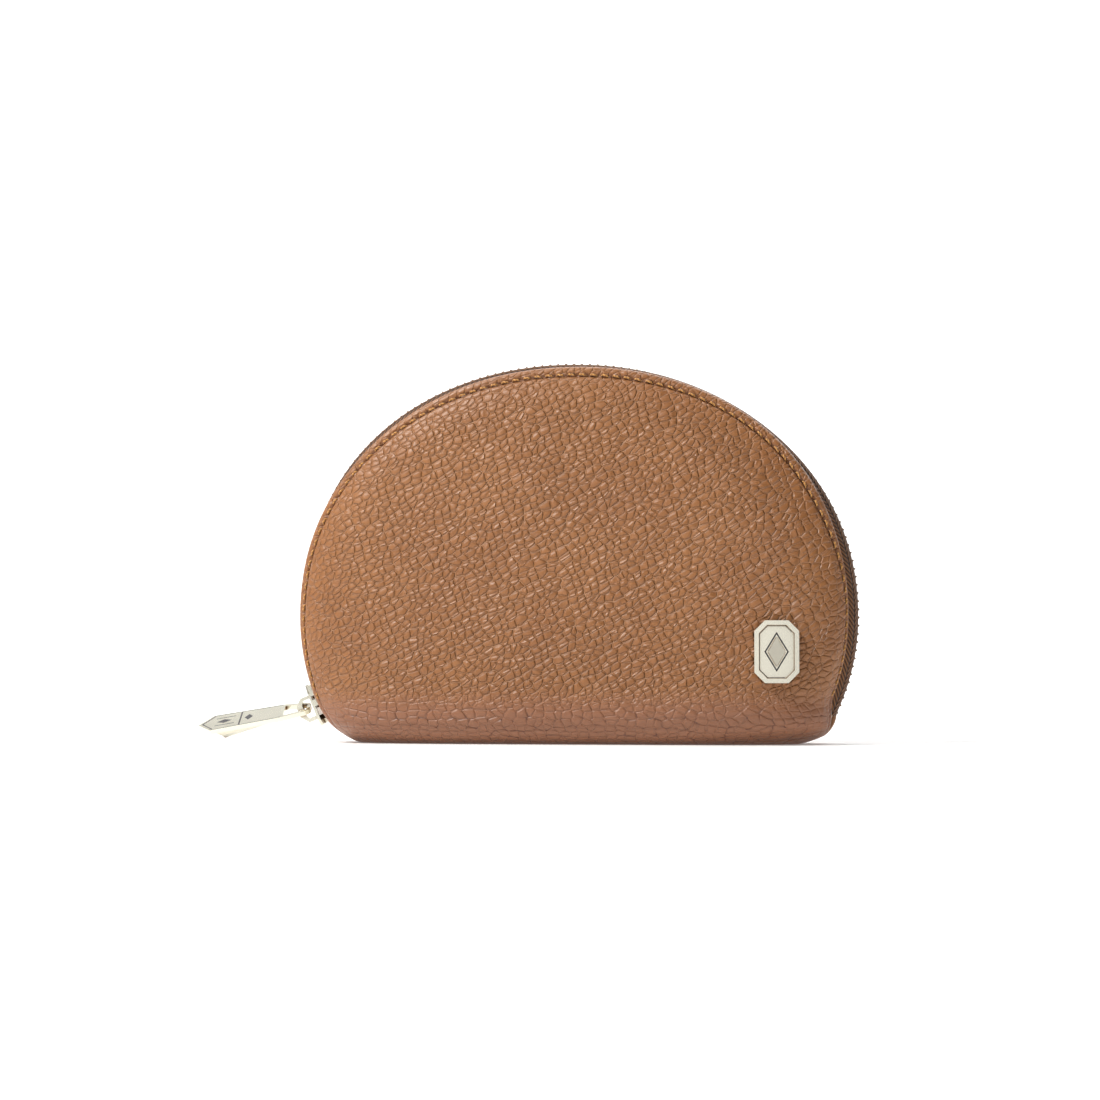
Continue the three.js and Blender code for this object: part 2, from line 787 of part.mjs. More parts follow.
function backHalf() {
  const group = new THREE.Group();
  const leather = wallLayer(BACK, layers.leather, wallReach, ...segments.leather);
  group.add(named('leather_back', leather, colours.leather));
  group.add(named('stiffener_back', stiffenerSheet(BACK), colours.board));
  group.add(named('lining_back', liningSheet(BACK), colours.lining));
  group.add(named('slip_pocket', slipPocket(), colours.lining));
  group.add(named('zip_tape_back', zipTape(BACK), colours.tape));
  group.add(named('zip_coil_back', zipCoil(BACK), colours.coil));
  group.add(zipBottomStop());
  return group;
}

function base() {
  const group = new THREE.Group();
  group.add(named('leather_base', baseLayer(layers.leather, 20, leatherLevels), colours.baseLeather));
  group.add(named('lining_base', baseLayer(layers.lining, 16, liningLevels), colours.lining));
  group.add(named('base_board', baseBoard(), colours.board));
  return group;
}

const pouch = new THREE.Group();
pouch.add(base(), backHalf(), frontHalf(), sliderAndPull());

export default pouch;
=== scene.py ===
import json
import math

import bpy
import numpy as np
from mathutils import Matrix, Vector


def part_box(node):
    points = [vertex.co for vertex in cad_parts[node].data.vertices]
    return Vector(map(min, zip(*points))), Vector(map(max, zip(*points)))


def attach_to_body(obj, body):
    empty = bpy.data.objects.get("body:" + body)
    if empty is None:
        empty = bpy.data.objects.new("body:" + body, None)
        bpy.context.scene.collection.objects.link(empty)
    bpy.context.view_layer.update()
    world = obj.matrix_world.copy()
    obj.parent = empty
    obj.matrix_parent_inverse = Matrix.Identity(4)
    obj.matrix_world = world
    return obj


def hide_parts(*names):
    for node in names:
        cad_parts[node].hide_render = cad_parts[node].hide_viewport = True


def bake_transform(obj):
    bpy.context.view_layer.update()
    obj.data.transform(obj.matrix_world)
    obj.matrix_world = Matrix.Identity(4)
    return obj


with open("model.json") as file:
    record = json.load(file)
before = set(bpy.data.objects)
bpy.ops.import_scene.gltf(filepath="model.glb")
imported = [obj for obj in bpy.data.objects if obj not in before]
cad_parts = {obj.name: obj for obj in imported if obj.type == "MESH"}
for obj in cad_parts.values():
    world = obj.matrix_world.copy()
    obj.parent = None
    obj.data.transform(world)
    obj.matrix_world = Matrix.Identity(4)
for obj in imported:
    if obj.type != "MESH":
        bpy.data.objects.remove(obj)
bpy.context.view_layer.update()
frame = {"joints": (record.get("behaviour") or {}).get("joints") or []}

# The looks of a zipped half-moon pouch of pebbled leather. Shapes are worked out in millimetres in
# the frame's own axes (front towards -Y, up +Z) and turned into metres when a mesh is made.

MM = 0.001
FRONT = -1
BACK = 1


# ---------------------------------------------------------------- sizes read from the frame

def box_mm(node):
    low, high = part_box(node)
    return np.array(low) / MM, np.array(high) / MM


def joint_mm(name):
    found = next(joint for joint in frame["joints"] if joint["name"] == name)
    return np.array(found["pos_m"]) / MM


FRONT_LOW, FRONT_HIGH = box_mm("leather_front")
BASE_HIGH = box_mm("leather_base")[1]
HALF_WIDTH = (FRONT_HIGH[0] - FRONT_LOW[0]) / 2
TOP_LEVEL = FRONT_HIGH[2]
BASE_HALF_DEPTH = BASE_HIGH[1]
ZIP_HALF_GAP = -FRONT_HIGH[1]
WALL_FOOT = FRONT_LOW[2]
ZIP_END_LEVEL = joint_mm("front_open")[2]

# Shape of the walls, as in the CAD part.
WIDEST_LEVEL = 32.1
LOWER_SEMI = 62.0
DOME_EXPONENT = 2.1
CORNER_RADIUS = 4.0
TAPER = 0.075
ROLL_RADIUS = 8.0
BULGE_EXPONENT = 4.0
SEAM_HALF_GAP = 0.15
SEAM_TOP = 1.0
ZIP_BOTTOM = 5.5

LEATHER_THICKNESS = 1.2
LINING_DEPTH = 2.9
STIFFENER_DEPTH = 1.95
STIFFENER_REACH = 0.93  # share of the wall that a stiffener covers
POCKET_DEPTH = 4.4
LIP_REACH = 0.6  # how far the folded leather edge comes over the tape
FRONT_LEAN = -0.9  # sideways shift of the front wall near its foot
CORNER_FULLNESS = 1.9  # how far the lower right corner stands out
GRID_CENTRE = 55.4  # level that the grids of the walls spread from
GRAIN_LEAN = math.radians(27)  # slope of the rows of pebbles, rising to the right
GROOVE_DEPTH = 0.75  # pressed into the leather by the stitches
STITCH_INSET = 3.0  # from the leather edge, along the leather
STITCH_PITCH = 2.9
HALVINGS = 45  # of a search, far below a thousandth of a millimetre
STITCH_HALVINGS = 40
RIM_SAMPLES = 4000  # along the leather edge, to measure its length


def sided(stem, side):
    """The name of a piece or node that there is one of at the front and one at the back."""
    return f"{stem}_front" if side == FRONT else f"{stem}_back"


# ---------------------------------------------------------------- shape of the pouch

def smoothstep(value, low, high):
    share = np.clip((value - low) / (high - low), 0, 1)
    return share * share * (3 - 2 * share)


def half_width_at(z):
    rise = z - WIDEST_LEVEL
    up = np.clip(rise / (TOP_LEVEL - WIDEST_LEVEL), 0, 1)
    dome = HALF_WIDTH * (1 - up ** DOME_EXPONENT) ** (1 / DOME_EXPONENT)
    below = np.clip(CORNER_RADIUS - z, 0, CORNER_RADIUS)
    ellipse = HALF_WIDTH * np.sqrt(np.clip(1 - (np.minimum(rise, 0) / LOWER_SEMI) ** 2, 0, 1))
    foot = ellipse - CORNER_RADIUS + np.sqrt(CORNER_RADIUS ** 2 - below ** 2)
    return np.where(rise >= 0, dome, foot)


def share_of_width(x, z):
    up = np.clip((z - WIDEST_LEVEL) / (TOP_LEVEL - WIDEST_LEVEL), 0, 1)
    across = np.abs(x) / HALF_WIDTH
    dome = (across ** DOME_EXPONENT + up ** DOME_EXPONENT) ** (1 / DOME_EXPONENT)
    foot = np.abs(x) / np.maximum(half_width_at(z), 1e-6)
    return np.minimum(1, np.where(z >= WIDEST_LEVEL, dome, foot))


def edge_half_gap_at(z, lip=0.0):
    return SEAM_HALF_GAP + (ZIP_HALF_GAP + lip - SEAM_HALF_GAP) * smoothstep(z, SEAM_TOP, ZIP_BOTTOM)


def centre_half_depth_at(z):
    wall = BASE_HALF_DEPTH - TAPER * np.maximum(0, z - ROLL_RADIUS)
    below = np.clip(ROLL_RADIUS - z, 0, ROLL_RADIUS)
    return wall - ROLL_RADIUS + np.sqrt(ROLL_RADIUS ** 2 - below ** 2)


def half_depth_at(x, z, lip=0.0):
    edge = edge_half_gap_at(z, lip)
    bulge = np.sqrt(1 - share_of_width(x, z) ** BULGE_EXPONENT)
    return edge + (centre_half_depth_at(z) - edge) * bulge


def wall_normal_at(x, z, lip=0.0):
    """Unit normal of the back wall. At an edge it is read just inside the edge."""
    inset, step = 0.9999, 0.001
    px, pz = x * inset, WIDEST_LEVEL + (z - WIDEST_LEVEL) * inset
    slope_x = (half_depth_at(px + step, pz, lip) - half_depth_at(px - step, pz, lip)) / (2 * step)
    slope_z = (half_depth_at(px, pz + step, lip) - half_depth_at(px, pz - step, lip)) / (2 * step)
    normal = np.stack([-slope_x, np.ones_like(slope_x), -slope_z], axis=-1)
    return normal / np.linalg.norm(normal, axis=-1, keepdims=True)


def wall_point(side, x, z, depth, lip=0.0):
    """Points of the front or back wall, a depth below its outer face."""
    x, z, depth = np.broadcast_arrays(x, z, depth)
    point = np.stack([x, half_depth_at(x, z, lip), z], axis=-1)
    point = point - wall_normal_at(x, z, lip) * depth[..., None]
    return point * np.array([1, side, 1])


def reach_to_edge(centre_z, angle, floor):
    """Distance from (0, centre_z) to the leather edge, or to the floor line, at an angle."""
    inside, outside = np.zeros_like(angle), np.full_like(angle, 2 * TOP_LEVEL)
    for _ in range(HALVINGS):
        radius = (inside + outside) / 2
        x, z = radius * np.cos(angle), centre_z + radius * np.sin(angle)
        within = (z < TOP_LEVEL) & (np.abs(x) < half_width_at(z)) & (z > floor)
        inside, outside = np.where(within, radius, inside), np.where(within, outside, radius)
    return inside


def rim_at(angle):
    """The leather edge in the XZ plane, by its angle about the middle of the wall's foot."""
    reach = reach_to_edge(WALL_FOOT, angle, 0.0)
    return reach * np.cos(angle), WALL_FOOT + reach * np.sin(angle)


def rim_normal_at(angle):
    step = 0.002
    (x1, z1), (x0, z0) = rim_at(angle + step), rim_at(angle - step)
    along = np.stack([z1 - z0, x0 - x1], axis=-1)
    along = along / np.linalg.norm(along, axis=-1, keepdims=True)
    return along[..., 0], along[..., 1]


def rim_point(side, angle, height, across):
    """A point over the leather edge: height outwards, across away from the middle plane."""
    x, z = rim_at(angle)
    nx, nz = rim_normal_at(angle)
    y = side * across * np.ones_like(x)
    return np.stack([x + nx * height, y, z + nz * height], axis=-1)


def rim_angle_at(level):
    return float(np.arctan2(level - WALL_FOOT, half_width_at(np.array(float(level)))))


def even_rim_angles(low_level, spacing):
    """Angles at even spacing along the rim, from the lower left over the top to the lower right."""
    end = rim_angle_at(low_level)
    dense = np.linspace(math.pi - end, end, RIM_SAMPLES)
    x, z = rim_at(dense)
    length = np.concatenate([[0], np.cumsum(np.hypot(np.diff(x), np.diff(z)))])
    count = max(2, int(round(length[-1] / spacing)))
    even = np.linspace(0, length[-1], count + 1)
    return np.interp(even, length, dense), even


def ripples(x, z, wavelength, seed):
    """Smooth unevenness, hardly ever past -1 or 1, and the same at each run."""
    waves, largest_sum = 7, 4
    random = np.random.default_rng(seed)
    total = np.zeros_like(x)
    for _ in range(waves):
        heading = random.uniform(0, math.pi)
        pitch = wavelength * random.uniform(0.7, 1.6)
        phase = random.uniform(0, 2 * math.pi)
        total += np.sin((x * math.cos(heading) + z * math.sin(heading)) * 2 * math.pi / pitch + phase)
    return total / largest_sum


# ---------------------------------------------------------------- meshes

def new_object(name, points, faces, material):
    mesh = bpy.data.meshes.new(name)
    mesh.from_pydata([tuple(point) for point in np.asarray(points) * MM], [], faces)
    mesh.materials.append(material)
    mesh.polygons.foreach_set("use_smooth", [True] * len(mesh.polygons))
    mesh.update()
    made = bpy.data.objects.new(name, mesh)
    bpy.context.scene.collection.objects.link(made)
    return made


def grid_faces(columns, rows, offset=0, around=False):
    """Quads of a grid of points, columns by rows, closed across the rows when it goes around."""
    last = rows if around else rows - 1
    return [
        (
            offset + i * rows + j,
            offset + (i + 1) * rows + j,
            offset + (i + 1) * rows + (j + 1) % rows,
            offset + i * rows + (j + 1) % rows,
        )
        for i in range(columns - 1)
        for j in range(last)
    ]


def grid_object(name, points, material, around=False, flip=False):
    columns, rows = points.shape[:2]
    faces = grid_faces(columns, rows, 0, around)
    if flip:
        faces = [face[::-1] for face in faces]
    return new_object(name, points.reshape(-1, 3), faces, material)


def face_outwards(made):
    """Turns the faces of a closed mesh so that they point out."""
    bpy.context.view_layer.objects.active = made
    bpy.ops.object.select_all(action="DESELECT")
    made.select_set(True)
    bpy.ops.object.mode_set(mode="EDIT")
    bpy.ops.mesh.select_all(action="SELECT")
    bpy.ops.mesh.normals_make_consistent(inside=False)
    bpy.ops.object.mode_set(mode="OBJECT")


def set_vectors(made, name, values):
    attribute = made.data.attributes.new(name, "FLOAT_VECTOR", "POINT")
    attribute.data.foreach_set("vector", np.asarray(values, np.float32).ravel())


def set_values(made, name, values):
    attribute = made.data.attributes.new(name, "FLOAT", "POINT")
    attribute.data.foreach_set("value", np.asarray(values, np.float32).ravel())


def add_cloth_thickness(made, thickness):
    cloth = made.modifiers.new("cloth thickness", "SOLIDIFY")
    cloth.thickness = thickness * MM


def attach(made, side, body_slot, *stands_for):
    """Soft pieces of the front are baked into place and go with no body, those of the back go with the
    pouch.
    """
    if side == FRONT:
        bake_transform(made)
    else:
        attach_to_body(made, "pouch")
    if stands_for:
        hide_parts(*stands_for)


# ---------------------------------------------------------------- node materials

class Nodes:
    """Short calls for building a shader."""

    def __init__(self, name):
        self.material = bpy.data.materials.new(name)
        self.material.use_nodes = True
        self.tree = self.material.node_tree
        self.shader = self.tree.nodes["Principled BSDF"]

    def add(self, kind, inputs=(), **settings):
        made = self.tree.nodes.new(kind)
        for key, value in settings.items():
            setattr(made, key, value)
        for key, value in dict(inputs).items():
            self.put(made.inputs[key], value)
        return made

    def put(self, socket, value):
        if isinstance(value, bpy.types.NodeSocket):
            self.tree.links.new(value, socket)
        else:
            socket.default_value = value

    def math(self, operation, first, second=0.0, third=0.0):
        made = self.add("ShaderNodeMath", operation=operation)
        for socket, value in zip(made.inputs, (first, second, third)):
            self.put(socket, value)
        return made.outputs[0]

    def vector(self, operation, first, second=(0, 0, 0)):
        made = self.add("ShaderNodeVectorMath", operation=operation)
        self.put(made.inputs[0], first)
        self.put(made.inputs[1], second)
        return made.outputs[0]

    def scaled(self, vector, factor):
        made = self.add("ShaderNodeVectorMath", operation="SCALE")
        self.put(made.inputs[0], vector)
        self.put(made.inputs["Scale"], factor)
        return made.outputs[0]

    def attribute(self, name, output="Vector"):
        return self.add("ShaderNodeAttribute", attribute_name=name).outputs[output]

    def noise(self, vector, scale, detail=2.0, roughness=0.5, output="Fac"):
        inputs = {"Vector": vector, "Scale": scale, "Detail": detail, "Roughness": roughness}
        return self.add("ShaderNodeTexNoise", inputs).outputs[output]

    def steps(self, value, low, high, bottom=0.0, top=1.0):
        inputs = {"Value": value, "From Min": low, "From Max": high, "To Min": bottom, "To Max": top}
        made = self.add("ShaderNodeMapRange", inputs, interpolation_type="SMOOTHSTEP")
        return made.outputs[0]

    def mix(self, factor, first, second):
        """A colour between two; the colours are the seventh and eighth sockets of a mix node."""
        made = self.add("ShaderNodeMix", data_type="RGBA")
        for socket, value in ((0, factor), (6, first), (7, second)):
            self.put(made.inputs[socket], value)
        return made.outputs[2]

    def blend(self, factor, first, second):
        """A value between two; the values are the third and fourth sockets of a mix node."""
        made = self.add("ShaderNodeMix", data_type="FLOAT")
        for socket, value in ((0, factor), (2, first), (3, second)):
            self.put(made.inputs[socket], value)
        return made.outputs[0]

    def bump(self, height, distance):
        inputs = {"Height": height, "Distance": distance, "Strength": 1.0}
        return self.add("ShaderNodeBump", inputs).outputs[0]

    def finish(self, **inputs):
        """Sets the shader's inputs, with underscores for the spaces in their names."""
        for key, value in inputs.items():
            self.put(self.shader.inputs[key.replace("_", " ")], value)
        return self.material


def colour(red, green, blue):
    """An sRGB colour of 0 to 255 as linear light."""
    def linear(value):
        value /= 255
        return value / 12.92 if value <= 0.04045 else ((value + 0.055) / 1.055) ** 2.4
    return (linear(red), linear(green), linear(blue), 1.0)


def pebbles(n, coordinates, cell):
    """Height of a pebbled grain: domed cells of about one size between narrow creases, with longer
    folds laid over them."""
    wander_scale, wander_reach = 0.16, 1.8
    unevenness = 0.76  # 1 would scatter the cells freely
    widen, fold_size, fold_stretch = 1.4, 1.5, (0.45, 1.0, 1.0)
    crease_width, fold_width = 0.17, 0.18
    crease_rise, fold_rise, dome_fall, base_level, roughness = 0.36, 0.22, -0.24, 0.3, 0.06
    noise = n.noise(coordinates, wander_scale, 2.0, output="Color")
    wander = n.vector("SUBTRACT", noise, (0.5, 0.5, 0.5))
    placed = n.vector("ADD", coordinates, n.scaled(wander, wander_reach))

    def cells(feature, size, place):
        inputs = {"Vector": place, "Scale": 1 / size, "Randomness": unevenness}
        made = n.add("ShaderNodeTexVoronoi", feature=feature, voronoi_dimensions="2D")
        for key, value in inputs.items():
            n.put(made.inputs[key], value)
        return made.outputs["Distance"]

    from_crease = cells("DISTANCE_TO_EDGE", cell, placed)
    from_middle = n.math("MULTIPLY", cells("F1", cell, placed), widen)
    fall = n.math("MINIMUM", n.math("MULTIPLY", from_middle, from_middle), 1.0)
    stretched = n.vector("MULTIPLY", placed, fold_stretch)
    from_fold = cells("DISTANCE_TO_EDGE", cell * fold_size, stretched)
    shoulder = n.math("MULTIPLY", n.steps(from_crease, 0.0, crease_width), crease_rise)
    fold = n.math("MULTIPLY", n.steps(from_fold, 0.0, fold_width), fold_rise)
    height = n.math("MULTIPLY_ADD", fall, dome_fall, n.math("ADD", shoulder, fold))
    raised = n.math("ADD", height, base_level)
    return n.math("MULTIPLY_ADD", n.noise(placed, 1.3, 3.0, 0.6), roughness, raised)


def leather_material():
    n = Nodes("tan_pebbled_leather")
    wall_place = n.attribute("wall_place")
    plain_place = n.attribute("plain_place")
    near_rim = n.attribute("near_rim", "Fac")
    near_foot = n.attribute("near_foot", "Fac")
    groove_and_shade = n.attribute("groove_and_shade", "Fac")

    wall_cell, foot_cell, foot_stretch = 1.62, 1.8, (0.72, 1.0, 1.0)
    wall_grain = pebbles(n, wall_place, wall_cell)
    foot_grain = pebbles(n, n.vector("MULTIPLY", plain_place, foot_stretch), foot_cell)
    grain = n.blend(near_foot, wall_grain, foot_grain)

    pores = n.noise(plain_place, 3.4, 3.0, 0.65)
    smoothing = 0.45  # share of the grain's height lost where the leather is pulled tight
    calm = n.math("SUBTRACT", 1.0, n.math("MULTIPLY", near_rim, smoothing))
    calm_foot = n.math("SUBTRACT", 1.0, n.math("MULTIPLY", near_foot, smoothing))
    calm = n.math("MULTIPLY", calm, calm_foot)
    height = n.math("MULTIPLY_ADD", pores, 0.06, n.math("MULTIPLY", grain, calm))
    bump = n.bump(height, 0.9 * MM)

    crease = n.steps(grain, 0.12, 0.36)
    tone = n.noise(plain_place, 0.045, 3.0, 0.55)
    tan = n.mix(n.steps(tone, 0.3, 0.7), colour(146, 95, 54), colour(154, 102, 59))
    # Pinker along the foot: a painted reflection of the pale floor.
    top = n.mix(near_foot, tan, colour(146, 97, 68))
    # Colour in the creases. On the walls it is pale: partly the leather's own paler crease colour,
    # partly a painted highlight on the lit crease shoulders. Along the foot it is dark: painted shade
    # in the creases.
    low = n.mix(near_foot, colour(172, 124, 88), colour(108, 66, 44))
    base = n.mix(crease, low, top)
    # Darker along the stitch groove: painted shade.
    base = n.mix(groove_and_shade, base, colour(96, 56, 32))
    roughness = n.math("MULTIPLY_ADD", pores, 0.12, n.blend(crease, 0.38, 0.36))
    n.shader.inputs["Specular IOR Level"].default_value = 0.5
    n.shader.inputs["Coat Weight"].default_value = 0.12
    n.shader.inputs["Coat Roughness"].default_value = 0.3
    return n.finish(Base_Color=base, Roughness=roughness, Normal=bump)


def edge_material():
    """The folded edge of the leather: smoother, and a little paler, partly its own lighter colour and
    partly a painted highlight along the turn of the edge.
    """
    n = Nodes("folded_leather_edge")
    place = n.attribute("edge_place")
    fine = n.noise(n.vector("MULTIPLY", place, (1.6, 0.5, 1.0)), 1.0, 3.0, 0.6)
    base = n.mix(fine, colour(150, 98, 62), colour(196, 146, 106))
    return n.finish(Base_Color=base, Roughness=0.45, Normal=n.bump(fine, 0.15 * MM))


def tape_material():
    """Herringbone tape: steep ribs that turn back from band to band."""
    n = Nodes("herringbone_tape")
    split = n.add("ShaderNodeSeparateXYZ", {"Vector": n.attribute("weave_place")})
    along, across = split.outputs[0], split.outputs[1]
    band_width, steepness, rib_pitch = 1.5, 1.5, 1.3
    band = n.math("PINGPONG", across, band_width)
    slant = n.math("MULTIPLY_ADD", band, steepness, along)
    wave = n.math("SINE", n.math("MULTIPLY", slant, 2 * math.pi / rib_pitch))
    rib = n.math("MULTIPLY_ADD", wave, 0.5, 0.5)
    valley = n.math("SUBTRACT", 1.0, n.steps(band, 0.0, 0.3))
    fuzz = n.noise(n.attribute("weave_place"), 2.6, 3.0, 0.7)
    height = n.math("MULTIPLY_ADD", fuzz, 0.3, n.math("SUBTRACT", rib, valley))
    base = n.mix(rib, colour(48, 27, 15), colour(138, 94, 58))
    base = n.mix(valley, base, colour(40, 24, 14))
    loops = n.attribute("loop_share", "Fac")
    base = n.mix(n.math("MULTIPLY", loops, 0.8), base, colour(128, 98, 48))
    base = n.mix(n.math("MULTIPLY", fuzz, 0.3), base, colour(70, 42, 24))
    n.shader.inputs["Specular IOR Level"].default_value = 0.25
    n.shader.inputs["Sheen Weight"].default_value = 0.12
    return n.finish(Base_Color=base, Roughness=0.8, Normal=n.bump(height, 0.14 * MM))


def coil_material():
    n = Nodes("nylon_coil")
    place = n.add("ShaderNodeTexCoord").outputs["Object"]
    tone = n.noise(place, 900.0, 2.0)
    base = n.mix(tone, colour(104, 68, 40), colour(128, 88, 54))
    return n.finish(Base_Color=base, Roughness=n.blend(tone, 0.3, 0.42))


def thread_material():
    n = Nodes("golden_thread")
    split = n.add("ShaderNodeSeparateXYZ", {"Vector": n.attribute("thread_place")})
    twists = 7.0  # turns of the plies, in radians per millimetre
    turned = n.math("MULTIPLY", split.outputs[0], twists)
    twist = n.math("MULTIPLY_ADD", split.outputs[1], 1.0, turned)
    ply = n.math("MULTIPLY_ADD", n.math("SINE", twist), 0.5, 0.5)
    base = n.mix(ply, colour(150, 98, 40), colour(208, 150, 74))
    n.shader.inputs["Sheen Weight"].default_value = 0.3
    return n.finish(Base_Color=base, Roughness=0.6, Normal=n.bump(ply, 0.06 * MM))


def lining_material():
    """Fine twill."""
    n = Nodes("lining_twill")
    place = n.add("ShaderNodeTexCoord").outputs["Object"]
    split = n.add("ShaderNodeSeparateXYZ", {"Vector": n.scaled(place, 1 / MM)})
    diagonal = n.math("ADD", split.outputs[0], split.outputs[2])
    twill_pitch = 0.7
    rib = n.math("SINE", n.math("MULTIPLY", diagonal, 2 * math.pi / twill_pitch))
    rib = n.math("MULTIPLY_ADD", rib, 0.5, 0.5)
    slub = n.noise(place, 420.0, 3.0)
    base = n.mix(rib, colour(92, 66, 46), colour(124, 92, 66))
    base = n.mix(n.math("MULTIPLY", slub, 0.5), base, colour(140, 108, 80))
    n.shader.inputs["Sheen Weight"].default_value = 0.3
    return n.finish(Base_Color=base, Roughness=0.82, Normal=n.bump(rib, 0.08 * MM))


def board_material():
    n = Nodes("grey_board")
    place = n.add("ShaderNodeTexCoord").outputs["Object"]
    fibre = n.noise(place, 700.0, 4.0, 0.7)
    base = n.mix(fibre, colour(134, 124, 110), colour(168, 158, 142))
    return n.finish(Base_Color=base, Roughness=0.9, Normal=n.bump(fibre, 0.05 * MM))


def gold_material(name, base_low, base_high, rough_low, rough_high):
    """Light gold, with painted shade: warmer and darker in the corners where pieces meet."""
    n = Nodes(name)
    place = n.add("ShaderNodeTexCoord").outputs["Object"]
    cloud = n.noise(place, 160.0, 3.0)
    scratch = n.noise(n.vector("MULTIPLY", place, (2600.0, 300.0, 2600.0)), 1.0, 2.0)
    open_share = n.add("ShaderNodeAmbientOcclusion", {"Distance": 1.6 * MM}, samples=8).outputs["AO"]
    base = n.mix(cloud, base_low, base_high)
    # Brown where ambient occlusion is deep: painted shade in the corners.
    base = n.mix(n.steps(open_share, 0.35, 0.95), colour(120, 84, 32), base)
    wear = n.math("MULTIPLY_ADD", scratch, 0.4, n.math("MULTIPLY", cloud, 0.6))
    roughness = n.blend(wear, rough_low, rough_high)
    bump = n.bump(scratch, 0.0015 * MM)
    return n.finish(Base_Color=base, Metallic=1.0, Roughness=roughness, Normal=bump)


def enamel_material():
    n = Nodes("dark_fill")
    place = n.add("ShaderNodeTexCoord").outputs["Object"]
    grit = n.noise(place, 1500.0, 2.0)
    return n.finish(Base_Color=n.mix(grit, colour(34, 32, 34), colour(62, 60, 62)), Roughness=0.45)


LEATHER = leather_material()
EDGE = edge_material()
TAPE = tape_material()
COIL = coil_material()
THREAD = thread_material()
LINING = lining_material()
BOARD = board_material()
GOLD = gold_material("polished_light_gold", colour(222, 218, 202), colour(232, 228, 212), 0.1, 0.2)
BRASS = gold_material("aged_brass", colour(150, 116, 62), colour(176, 142, 84), 0.24, 0.4)
SATIN = gold_material("satin_light_gold", colour(214, 209, 192), colour(226, 220, 204), 0.26, 0.4)
ENAMEL = enamel_material()


# ---------------------------------------------------------------- the leather skin

def gathered(share, power=1.8):
    """Even steps from -1 to 1, gathered towards both ends."""
    return np.sign(share) * (1 - (1 - np.abs(share)) ** power)


def wall_grid(columns, rows, reach=1.0):
    """A square grid spread over a wall down to the floor line.
    Gives x, z, how far each point lies inside the leather edge, and its angle about GRID_CENTRE.
    Points that face the floor line are given as far from the edge, since no edge is there."""
    at_floor, far_away = 0.05, 1e3
    u, v = np.meshgrid(
        gathered(np.linspace(-1, 1, columns)), gathered(np.linspace(-1, 1, rows)), indexing="ij"
    )
    across, up = u * np.sqrt(1 - v * v / 2), v * np.sqrt(1 - u * u / 2)
    share, angle = np.hypot(across, up), np.arctan2(up, across)
    edge = reach_to_edge(GRID_CENTRE, angle, 0.0)
    x = reach * share * edge * np.cos(angle)
    z = GRID_CENTRE + reach * share * edge * np.sin(angle)
    on_floor_line = GRID_CENTRE + edge * np.sin(angle) < at_floor
    inside = np.where(on_floor_line, far_away, (1 - reach * share) * edge)
    return x, np.maximum(z, 0), inside, angle


def unrolled(x, z, angle):
    """Flat coordinates of wall points: their distance from the middle along the leather, by angle."""
    length = np.zeros_like(x)
    before = None
    for step in np.linspace(0, 1, 28):
        place_z = GRID_CENTRE + (z - GRID_CENTRE) * step
        point = np.stack([x * step, half_depth_at(x * step, place_z, LIP_REACH), place_z], axis=-1)
        if before is not None:
            length += np.linalg.norm(point - before, axis=-1)
        before = point
    return length * np.cos(angle), length * np.sin(angle)


def lean_at(side, x, z):
    """How far a wall point sits aside: the lower right corner is full, and the front wall leans a
    little to the left of the back one, most of all near its foot."""
    full = CORNER_FULLNESS * smoothstep(x, 38, 58)
    full = full * smoothstep(z, 0, 2.4) * (1 - smoothstep(z, 4, 12))
    if side == BACK:
        return full
    return full + FRONT_LEAN * (1 - smoothstep(z, 45, 88)) * smoothstep(z, 2, 12)


def stitch_inset_at(x, z):
    """Distance from the leather edge to the stitches, which run on the very turn of the edge at
    the lower right."""
    drawn_out = 1.7
    return STITCH_INSET - drawn_out * smoothstep(x, 50, 64) * (1 - smoothstep(z, 34, 66))


